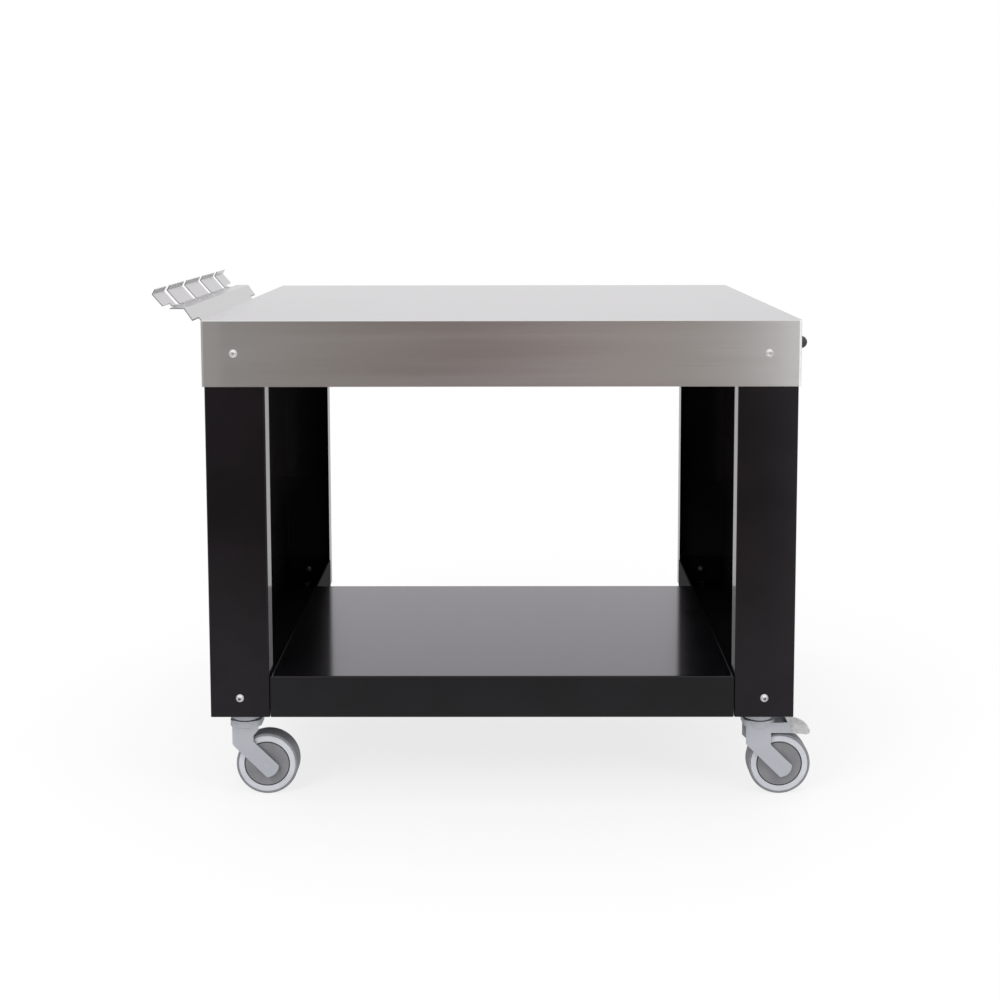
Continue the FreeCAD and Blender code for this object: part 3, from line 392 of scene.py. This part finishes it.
# %% [markdown]
# Where a sheet or a casting ends, handling polishes metal and thins paint, and a rounded
# edge also catches the light: the lighter edges here are partly that wear and partly a
# painted highlight. A Bevel node compares a rounded normal with the true one: they differ
# only near an edge, and the difference is a ready mask. Painting such a mask by hand would
# need a texture for each of 58 parts. Noise breaks it up, so that no edge is lightened evenly.

# %% Edge wear and painted highlight group
edge_wear_and_highlight, taken, given = open_group(
    "edge_wear_and_highlight",
    [("Point", "Vector", None), ("Reach", "Float", 0.0012), ("Patches per Metre", "Float", 60.0)],
    [("Edge", "Float")],
)
rounded = put(edge_wear_and_highlight, "Bevel", {"Radius": taken["Reach"]}, samples=4).outputs[0]
plain = put(edge_wear_and_highlight, "NewGeometry").outputs["Normal"]
same_way = reckon(edge_wear_and_highlight, "DOT_PRODUCT", rounded, plain, result="Value")
# the lighter edge is partly wear and partly a painted highlight of a rounded edge
edge = ease(edge_wear_and_highlight, same_way, 0.985, 0.80)
patches = noise(edge_wear_and_highlight, taken["Point"], taken["Patches per Metre"], detail=3.0)
broken = calc(edge_wear_and_highlight, "MULTIPLY", edge, ease(edge_wear_and_highlight, patches, 0.35, 0.65, 0.35, 1.0))
give_out(edge_wear_and_highlight, given, Edge=broken)


def wear_and_highlight_edge(tree, point, reach, per_metre):
    """The mask of the group, for wear and painted highlight that reaches so many metres in, in so many
    patches per metre.
    """
    plugs = {"Point": point, "Reach": reach, "Patches per Metre": per_metre}
    return use_group(tree, edge_wear_and_highlight, plugs)["Edge"]


# %% [markdown]
# The tray's four corners were welded, ground flush and brushed again by hand. That leaves a
# strip beside each corner with a coarser, more scattered sheen than the belt's, and in the
# photograph it is the bright upright band at the right end of the front. The strip is
# rougher, and its slightly lighter colour is a painted sheen. It is found from its distance
# to the nearest corner, which needs no painting either. The bends of the right-hand corners
# only, on the side of the right lamp, get a light, less metallic colour: a painted highlight.

# %% Stainless tray top
strip_fades, strip_starts = 0.044, 0.020
bend_highlight_fades, bend_highlight_starts = 0.006, 0.003
tree, shader, point = start_finish("stainless_top", Anisotropic=0.85, Specular_Tint=grey(0.90))
geometry = put(tree, "NewGeometry").outputs
grain = use_group(tree, brushed_grain, {"Point": point, "Face": geometry["True Normal"],
                                        "Lines per Metre": 420.0, "Line Stretch": 90.0})
tray_low, tray_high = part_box("worktop")
tray_middle = (tray_low + tray_high) / 2
tray_half = (tray_high - tray_low) / 2
from_middle = reckon(tree, "ABSOLUTE", reckon(tree, "SUBTRACT", point, tray_middle))
from_sides = reckon(tree, "SUBTRACT", from_middle, tray_half)
in_plan = reckon(tree, "MULTIPLY", from_sides, (1.0, 1.0, 0.0))
from_corner = reckon(tree, "LENGTH", in_plan, result="Value")
on_rim = calc(tree, "LESS_THAN", axis(tree, geometry["True Normal"], 2), 0.7)
ground_strip_and_sheen = calc(tree, "MULTIPLY", ease(tree, from_corner, strip_fades, strip_starts), on_rim)
right_lamp_side = calc(tree, "GREATER_THAN", axis(tree, point, 0), 0.0)
painted_bend_highlight = calc(tree, "MULTIPLY", ease(tree, from_corner, bend_highlight_fades, bend_highlight_starts), on_rim)
painted_bend_highlight = calc(tree, "MULTIPLY", painted_bend_highlight, right_lamp_side)
steel = blend_colour(tree, grain["Bands"], rgb(0.745, 0.742, 0.738), rgb(0.76, 0.757, 0.753))
# the lighter colour of the corner strip is a painted sheen
steel = blend_colour(tree, ground_strip_and_sheen, steel, rgb(0.77, 0.767, 0.763))
steel = scaled(tree, steel, ease(tree, grain["Lines"], 0.3, 0.7, 0.975, 1.02))
# the light colour on the right-hand bends only is a painted highlight
steel = blend_colour(tree, painted_bend_highlight, steel, grey(0.86))
belt = ease(tree, grain["Bands"], 0.3, 0.7, 0.21, 0.25)
dullness = put(tree, "Mix", {0: ground_strip_and_sheen, 2: belt, 3: 0.25}, data_type="FLOAT").outputs[0]
brush_way = put(tree, "Mix", {0: grain["End Rim"], 4: (1.0, 0.0, 0.0), 5: (0.0, 0.0, 1.0)},
                data_type="VECTOR").outputs[1]
feed(tree, shader, Base_Color=steel, Roughness=dullness,
     Metallic=ease(tree, painted_bend_highlight, 0.0, 1.0, 1.0, 0.35),
     Tangent=reckon(tree, "CROSS_PRODUCT", geometry["Normal"], brush_way))
raise_surface(tree, shader, grain["Lines"], 0.00001, 0.3)
print("stainless_top", len(tree.nodes), "nodes")

# %% [markdown]
# The tool rack is a thinner strip from the same mill. It looks softer and lighter than the
# tray, because its finish is finer and less directional. The same grain group serves, with
# finer and shorter lines and less anisotropy, and its cut edges are painted lighter, partly
# wear and partly a painted highlight.

# %% Stainless rack
tree, shader, point = start_finish(
    "stainless_rack", Metallic=1.0, Anisotropic=0.25, Specular_Tint=grey(0.92))
geometry = put(tree, "NewGeometry").outputs
grain = use_group(tree, brushed_grain, {"Point": point, "Face": geometry["True Normal"],
                                        "Lines per Metre": 1400.0, "Line Stretch": 60.0})
satin = blend_colour(tree, ease(tree, grain["Lines"], 0.25, 0.75),
                     rgb(0.64, 0.64, 0.642), rgb(0.66, 0.66, 0.662))
satin = blend_colour(tree, wear_and_highlight_edge(tree, point, 0.0008, 90.0), satin, grey(0.82))
feed(tree, shader, Base_Color=satin,
     Roughness=ease(tree, grain["Bands"], 0.3, 0.7, 0.19, 0.23),
     Tangent=put(tree, "CombineXYZ", {0: 0.0, 1: 1.0, 2: 0.0}).outputs[0])
raise_surface(tree, shader, grain["Lines"], 0.000004, 0.2)
print("stainless_rack", len(tree.nodes), "nodes")

# %% [markdown]
# Zinc freezes into flat crystals, each tilted its own way. They could be drawn as tiny
# faces, but a Voronoi texture gives every crystal one random grey, which is all that shows.
# A little noise first bends the straight lines between the cells.

# %% Zinc crystal group
zinc_crystals, taken, given = open_group(
    "zinc_crystals", [("Point", "Vector", None), ("Crystals per Metre", "Float", 90.0)],
    [("Crystal", "Float"), ("Frost", "Float")],
)
clouds = put(zinc_crystals, "TexNoise", {
    "Vector": taken["Point"], "Scale": taken["Crystals per Metre"], "Detail": 2.0}).outputs
nudge = scaled(zinc_crystals, clouds["Color"], 0.004)
shifted = reckon(zinc_crystals, "ADD", taken["Point"], nudge)
cells = put(zinc_crystals, "TexVoronoi", {"Vector": shifted, "Scale": taken["Crystals per Metre"]})
one_grey = axis(zinc_crystals, cells.outputs["Color"], 0)
give_out(zinc_crystals, given, Crystal=one_grey, Frost=clouds["Fac"])

# %% [markdown]
# The channels under the tray were dipped in hot zinc and have large crystals. The dark
# plating on the nuts has such small ones that it only looks lively, so the group serves both.
# The pins in the wheels were sprayed silver with their forks. They could have a slot of
# their own, but here the plating simply turns into that paint below the table's feet.

# %% Galvanised channels and zinc-plated hardware
def zinc_coat(slot_name, per_metre, dark, light, edge, rough_low, rough_high):
    """A finish of crystals: how many per metre, two greys, the edge colour of wear and painted highlight,
    and the roughness.
    """
    tree, shader, point = start_finish(slot_name, Metallic=1.0)
    crystals = use_group(tree, zinc_crystals, {"Point": point, "Crystals per Metre": per_metre})
    plating = blend_colour(tree, crystals["Crystal"], dark, light)
    plating = blend_colour(tree, wear_and_highlight_edge(tree, point, 0.0006, 120.0), plating, edge)
    feed(tree, shader, Base_Color=plating,
         Roughness=ease(tree, crystals["Frost"], 0.3, 0.7, rough_low, rough_high))
    raise_surface(tree, shader, crystals["Crystal"], 0.00001, 0.6)
    print(slot_name, len(tree.nodes), "nodes")
    return tree, shader, point, plating


zinc_coat("galvanised", 85.0, rgb(0.47, 0.48, 0.50), rgb(0.62, 0.63, 0.645), grey(0.72), 0.36, 0.52)
tree, shader, point, plating = zinc_coat(
    "zinc", 700.0, rgb(0.12, 0.122, 0.13), rgb(0.19, 0.192, 0.20), rgb(0.30, 0.30, 0.31), 0.34, 0.44)
paint_starts, paint_covers = 0.150, 0.142
above_floor = axis(tree, point, 2)
painted = ease(tree, above_floor, paint_starts, paint_covers)
feed(tree, shader, Base_Color=blend_colour(tree, painted, plating, rgb(0.45, 0.465, 0.50)),
     Metallic=ease(tree, above_floor, paint_covers, paint_starts, 0.25, 1.0))
print("wheel pins painted below", paint_starts, "m")

# %% [markdown]
# Powder coat is sprayed dry and melts in an oven. It never flows out quite flat: its skin
# has a faint ripple, like orange peel, a few millimetres from crest to crest, and fine dull
# specks. Two layers of noise give both and a third shades the tone. The legs, the shelf and
# the silver casters use the same group with their own colours.

# %% Powder coat group
powder_skin, taken, given = open_group(
    "powder_skin", [("Point", "Vector", None), ("Ripples per Metre", "Float", 260.0)],
    [("Height", "Float"), ("Tone", "Float"), ("Specks", "Float")],
)
ripples = taken["Ripples per Metre"]
fine = calc(powder_skin, "MULTIPLY", ripples, 6.0)
give_out(powder_skin, given,
         Height=noise(powder_skin, taken["Point"], ripples, detail=1.5, roughness=0.45),
         Tone=noise(powder_skin, taken["Point"], 9.0, detail=3.0),
         Specks=noise(powder_skin, taken["Point"], fine, detail=1.0))

# %% [markdown]
# Four finishes are powder. Each is two close tones of one colour, so that a large panel
# isn't dead flat, and the edges are a shade lighter. One function could hold all their
# numbers, but passing them in keeps each colour beside the name of its part.

# %% Black and silver coats
def powder_coat(slot_name, dark, light, edge, rough_low, rough_high, ripple_depth, **constants):
    """One powder-coated finish: two close tones, an edge of wear and painted highlight, and a ripple of
    that depth in metres.
    """
    tree, shader, point = start_finish(slot_name, **constants)
    skin = use_group(tree, powder_skin, {"Point": point, "Ripples per Metre": 260.0})
    coat = blend_colour(tree, ease(tree, skin["Tone"], 0.3, 0.7), dark, light)
    coat = blend_colour(tree, wear_and_highlight_edge(tree, point, 0.0010, 45.0), coat, edge)
    feed(tree, shader, Base_Color=coat,
         Roughness=ease(tree, skin["Specks"], 0.3, 0.7, rough_low, rough_high))
    raise_surface(tree, shader, skin["Height"], ripple_depth)
    print(slot_name, len(tree.nodes), "nodes")
    return tree, shader, point, coat


powder_coat("black_inner", rgb(0.003, 0.003, 0.0035), rgb(0.005, 0.0047, 0.0055),
            rgb(0.012, 0.012, 0.013), 0.60, 0.70, 0.00006, Specular_IOR_Level=0.06)
powder_coat("caster_grey", rgb(0.435, 0.45, 0.49), rgb(0.475, 0.49, 0.53),
            rgb(0.62, 0.63, 0.67), 0.34, 0.42, 0.00004, Metallic=0.25)

# %% [markdown]
# The legs are nearly black at the top and a shade greyer towards the floor, a painted
# reflection of the bright floor in the coat. A second black could be used for the lower
# half, but it would show a border. The height above the floor blends the painted reflection
# in slowly, and a cloudy noise keeps it uneven.

# %% Legs with a painted floor reflection near the bottom
reflection_starts, reflection_covers = 0.52, 0.18
tree, shader, point, plain_coat = powder_coat(
    "black_leg", rgb(0.0024, 0.0014, 0.0028), rgb(0.0052, 0.0036, 0.0056), rgb(0.018, 0.017, 0.020),
    0.34, 0.44, 0.00006, Specular_IOR_Level=0.03, Coat_Weight=0.9, Coat_Roughness=0.08, Coat_IOR=1.4)
floor_reflection = ease(tree, axis(tree, point, 2), reflection_starts, reflection_covers)
uneven_reflection = ease(tree, noise(tree, point, 14.0, detail=3.0), 0.25, 0.7, 0.75, 1.0)
# greyer towards the floor: a painted reflection of the bright floor
floor_lit_coat = blend_colour(tree, calc(tree, "MULTIPLY", floor_reflection, uneven_reflection), plain_coat,
                          rgb(0.0145, 0.0125, 0.0145))
feed(tree, shader, Base_Color=floor_lit_coat)
print("dust below", reflection_starts, "m")

# %% [markdown]
# The shelf has a glossier black than the legs. Seen at a low angle it mirrors the bright
# room behind it and turns violet-grey, with soft dark reflections of the legs at both ends.
# A plain black with low roughness would mirror too sharply, so a slightly rough clear coat
# lies over a rougher base, and both ripple. Less of that coat reaches the folded sides, and
# least of all stays on the bends between top and sides.

# %% Gloss shelf
bend_coat, side_coat, top_coat = 0.42, 0.74, 1.0
tree, shader, point, coat = powder_coat(
    "black_shelf", rgb(0.0032, 0.0026, 0.0038), rgb(0.0048, 0.0040, 0.0056), rgb(0.016, 0.015, 0.018),
    0.22, 0.30, 0.00008, Specular_IOR_Level=0.05, Coat_Roughness=0.09, Coat_IOR=1.8)
faces_up = axis(tree, put(tree, "NewGeometry").outputs["Normal"], 2)
on_top = ease(tree, faces_up, 0.93, 0.99, bend_coat, top_coat)
on_side = ease(tree, calc(tree, "ABSOLUTE", faces_up), 0.14, 0.03, bend_coat, side_coat)
feed(tree, shader, Coat_Weight=calc(tree, "MAXIMUM", on_top, on_side))
print("clear coat from", bend_coat, "on the bends to", top_coat, "on top")

# %% [markdown]
# Button-head bolts are turned from bar, so their domes carry fine rings and look almost
# white under soft light. Rings would need each bolt's own centre, while a very fine cloud in
# the roughness does as well at this size. The sockets of the bolts near the floor get a
# darker colour as painted shade: an Ambient Occlusion node finds the hollows, and the height
# fades this painted shade out further up.

# %% Bolts
socket_shade_fades, socket_shade_starts = 0.7, 0.3
tree, shader, point = start_finish("bolt_steel", Metallic=0.85)
skin = use_group(tree, powder_skin, {"Point": point, "Ripples per Metre": 900.0})
bright = blend_colour(tree, skin["Specks"], grey(0.84), grey(0.91))
bright = blend_colour(tree, wear_and_highlight_edge(tree, point, 0.0005, 300.0), bright, grey(0.93))
open_sky = put(tree, "AmbientOcclusion", {"Distance": 0.003}, samples=4, only_local=True).outputs["AO"]
low_down = ease(tree, axis(tree, point, 2), socket_shade_fades, socket_shade_starts, 0.12, 1.0)
# a darker colour in the hollows of the lower bolts is painted shade
painted_socket_shade = calc(tree, "MULTIPLY", ease(tree, open_sky, 0.95, 0.45), low_down)
feed(tree, shader, Base_Color=blend_colour(tree, painted_socket_shade, bright, rgb(0.16, 0.16, 0.17)),
     Roughness=ease(tree, skin["Specks"], 0.3, 0.7, 0.26, 0.36))
raise_surface(tree, shader, skin["Height"], 0.00001)
print("bolt_steel", len(tree.nodes), "nodes")

# %% [markdown]
# Tyres, rims, guards, seals and the pedal are moulded. Their skin copies the mould: a fine
# even grain, slightly lighter where it has been rubbed. One group gives the grain, and each
# part only sets how coarse it is and how dull.

# %% Moulded skin group
moulded_skin, taken, given = open_group(
    "moulded_skin",
    [("Point", "Vector", None), ("Grain per Metre", "Float", 900.0),
     ("Patches per Metre", "Float", 35.0)],
    [("Height", "Float"), ("Rub", "Float")],
)
pits = put(moulded_skin, "TexVoronoi", {"Vector": taken["Point"], "Scale": taken["Grain per Metre"]},
           feature="SMOOTH_F1").outputs["Distance"]
rub = noise(moulded_skin, taken["Point"], taken["Patches per Metre"], detail=4.0)
give_out(moulded_skin, given, Height=pits, Rub=rub)

# %% [markdown]
# The wheels, their seals, the brakes and the knob on the tray's rim are moulded, each in its
# own grey. A coloured powder could stand in for them, but rubber and nylon are duller and
# their grain is finer. The pedal has the smallest patches, because shoes scuff it in spots.

# %% Moulded parts
def moulded(slot_name, dark, light, edge, rough_low, rough_high, grain=900.0, patches=35.0):
    """A plastic or rubber finish with grain, rubbed patches, and edges lightened by wear and a painted
    highlight.
    """
    tree, shader, point = start_finish(slot_name)
    skin = use_group(tree, moulded_skin, {"Point": point, "Grain per Metre": grain,
                                          "Patches per Metre": patches})
    body = blend_colour(tree, ease(tree, skin["Rub"], 0.3, 0.7), dark, light)
    body = blend_colour(tree, wear_and_highlight_edge(tree, point, 0.0008, 80.0), body, edge)
    feed(tree, shader, Base_Color=body,
         Roughness=ease(tree, skin["Rub"], 0.3, 0.7, rough_high, rough_low))
    raise_surface(tree, shader, skin["Height"], 0.00005, 0.6)
    print(slot_name, len(tree.nodes), "nodes")


moulded("rim_grey", rgb(0.52, 0.53, 0.57), rgb(0.58, 0.59, 0.63), rgb(0.66, 0.67, 0.70), 0.36, 0.46)
moulded("guard_grey", rgb(0.18, 0.18, 0.19), rgb(0.22, 0.22, 0.235), rgb(0.30, 0.30, 0.31), 0.42, 0.52)
moulded("tread_grey", rgb(0.20, 0.20, 0.22), rgb(0.235, 0.235, 0.255), rgb(0.28, 0.28, 0.30), 0.46, 0.58,
        grain=600.0)
moulded("bearing_black", rgb(0.02, 0.02, 0.021), rgb(0.03, 0.03, 0.031), rgb(0.06, 0.06, 0.062),
        0.35, 0.45)
moulded("seal_black", rgb(0.012, 0.012, 0.013), rgb(0.02, 0.02, 0.021), rgb(0.04, 0.04, 0.041), 0.5, 0.62)
moulded("pedal_grey", rgb(0.41, 0.41, 0.415), grey(0.55), rgb(0.64, 0.64, 0.63), 0.34, 0.46,
        patches=170.0)
moulded("shoe_grey", rgb(0.18, 0.18, 0.19), rgb(0.215, 0.215, 0.225), rgb(0.26, 0.26, 0.27), 0.6, 0.75,
        grain=500.0)
moulded("knob", rgb(0.028, 0.028, 0.030), rgb(0.04, 0.04, 0.042), rgb(0.09, 0.09, 0.092), 0.24, 0.32)

# %% [markdown]
# The record says which finish each part has. Its list is used as it is, so that a part can
# never be given another part's finish by mistake.

# %% Give each part its finish
slot_of = {row["node"]: row["material_slot"] for row in frame["record"]["subparts"]}
for name, node in table_nodes.items():
    for material_slot in node.material_slots:
        material_slot.material = finishes[slot_of[name]]
print(len(slot_of), "parts in", len(set(slot_of.values())), "finishes")

# %% [markdown]
# Each wheel shows a dark ring round its grey disc guard, where a narrow groove lies in
# shade. A thin black ring is put there as painted shade of that groove. It could be cut into
# the guard with a Boolean, but a small round profile that is turned about the axle gives it
# in one step.

# %% Turn a ring
def turn_ring(name, axle_spot, radius, out, thick, segments=96, sides=10):
    """A ring about an axle along Y: radius of its middle line, distance out, half thickness."""
    mould = bmesh.new()
    hoops = []
    for step in range(segments):
        round_axle = 2 * math.pi * step / segments
        hoop = []
        for side_step in range(sides):
            round_lip = 2 * math.pi * side_step / sides
            reach = radius + thick * math.cos(round_lip)
            hoop.append(mould.verts.new((
                reach * math.cos(round_axle),
                out + thick * math.sin(round_lip),
                reach * math.sin(round_axle))))
        hoops.append(hoop)
    for here, there in zip(hoops, hoops[1:] + hoops[:1]):
        for one in range(sides):
            two = (one + 1) % sides
            face = mould.faces.new((here[one], here[two], there[two], there[one]))
            face.smooth = True
    bmesh.ops.recalc_face_normals(mould, faces=mould.faces[:])
    mesh = bpy.data.meshes.new(name)
    mould.to_mesh(mesh)
    mould.free()
    ring = bpy.data.objects.new(name, mesh)
    scene.collection.objects.link(ring)
    ring.location = axle_spot
    return ring


def dress(piece, slot_name, body):
    """Gives a new piece its finish, its slot and the body it moves with."""
    piece.data.materials.append(finishes[slot_name])
    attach(piece, body)


print("ready for rings")

# %% [markdown]
# The painted-shade ring is attached to the guard, so it swivels with the fork and doesn't
# roll. Its place and size could be typed in for each wheel, but the boxes of the rim and of
# the guards give them, so the rings follow if the wheels change.

# %% Painted-shade rings round the disc guards
shade_ring_thick = 0.00090
shade_ring_past_guard = 0.00015
for corner in ["front_left", "front_right", "back_left", "back_right"]:
    rim_low, rim_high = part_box(f"rim_{corner}")
    axle_spot = (rim_low + rim_high) / 2
    wheel_face = (rim_high.y - rim_low.y) / 2
    guard_low, guard_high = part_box(f"disc_guards_{corner}")
    guard_radius = (guard_high.x - guard_low.x) / 2
    for label, way in [("outer", 1), ("inner", -1)]:
        # a black ring where the groove lies in shade: painted shade
        shade_ring = turn_ring(f"groove_shade_ring_{label}_{corner}", axle_spot, guard_radius + shade_ring_past_guard,
                        way * (wheel_face - shade_ring_thick), shade_ring_thick)
        dress(shade_ring, "seal_black", f"swivel_{corner}")
print("guard lips of", round(guard_radius * 1000, 1), "mm radius")

# %% [markdown]
# A foot pedal is worked with a dusty shoe, so its top has moulded ribs to grip by. A bump
# map would leave its outline smooth, and the ribs show in the outline, so they are meshes:
# half-round bars with tapered ends, set along the slope of the pedal.

# %% Pedal ribs
pedal_slope = [(0.0, 0.0), (0.25, 0.0015), (0.6, 0.0055), (0.85, 0.010), (0.97, 0.014)]
rib_taper = [(-1.0, 0.1), (-0.96, 0.8), (-0.9, 1.0), (0.9, 1.0), (0.96, 0.8), (1.0, 0.1)]
rib_half_width = 0.0009
rib_end_width = 0.6
rib_height = 0.0007
rib_sunk = 0.3
rib_from_side = 0.004
slope_step = 0.05
rib_places = [0.22 + 0.09 * step for step in range(7)]
arc_steps = 6


def drop_at(share):
    """How far the pedal's top lies below its root, that share of the way to its tip."""
    for (near, near_drop), (far, far_drop) in zip(pedal_slope, pedal_slope[1:]):
        if share <= far:
            return near_drop + (far_drop - near_drop) * (share - near) / (far - near)
    return pedal_slope[-1][1]


def mould_ribs(name, low, high):
    """Bars across the pedal whose box is given, each at its share of the pedal's length."""
    mould = bmesh.new()
    length = high.x - low.x
    middle = (low.y + high.y) / 2
    half_span = (high.y - low.y) / 2 - rib_from_side
    for share in rib_places:
        fall = drop_at(share - slope_step) - drop_at(share + slope_step)
        lean = math.atan2(fall, 2 * slope_step * length)
        foot = Vector((low.x + share * length, 0.0, high.z - drop_at(share)))
        rows = []
        for across, full in rib_taper:
            row = []
            for step in range(arc_steps + 1):
                turn = math.pi * step / arc_steps
                width_here = rib_half_width * (rib_end_width + (1 - rib_end_width) * full)
                flat_part = width_here * math.cos(turn)
                up_part = rib_height * (math.sin(turn) * full - rib_sunk)
                row.append(mould.verts.new((
                    foot.x + flat_part * math.cos(lean) - up_part * math.sin(lean),
                    middle + across * half_span,
                    foot.z + flat_part * math.sin(lean) + up_part * math.cos(lean))))
            rows.append(row)
        for here, there in zip(rows, rows[1:]):
            for one in range(arc_steps):
                face = mould.faces.new((here[one], here[one + 1], there[one + 1], there[one]))
                face.smooth = True
            mould.faces.new((here[-1], here[0], there[0], there[-1]))
        mould.faces.new(rows[0])
        mould.faces.new(rows[-1])
    bmesh.ops.recalc_face_normals(mould, faces=mould.faces[:])
    mesh = bpy.data.meshes.new(name)
    mould.to_mesh(mesh)
    mould.free()
    ribs = bpy.data.objects.new(name, mesh)
    scene.collection.objects.link(ribs)
    return ribs


for corner in ["front_right", "back_right"]:
    pedal_low, pedal_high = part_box(f"brake_pedal_{corner}")
    grip = mould_ribs(f"pedal_ribs_{corner}", pedal_low, pedal_high)
    dress(grip, "pedal_grey", f"brake_{corner}")
print(len(rib_places), "ribs on each pedal")
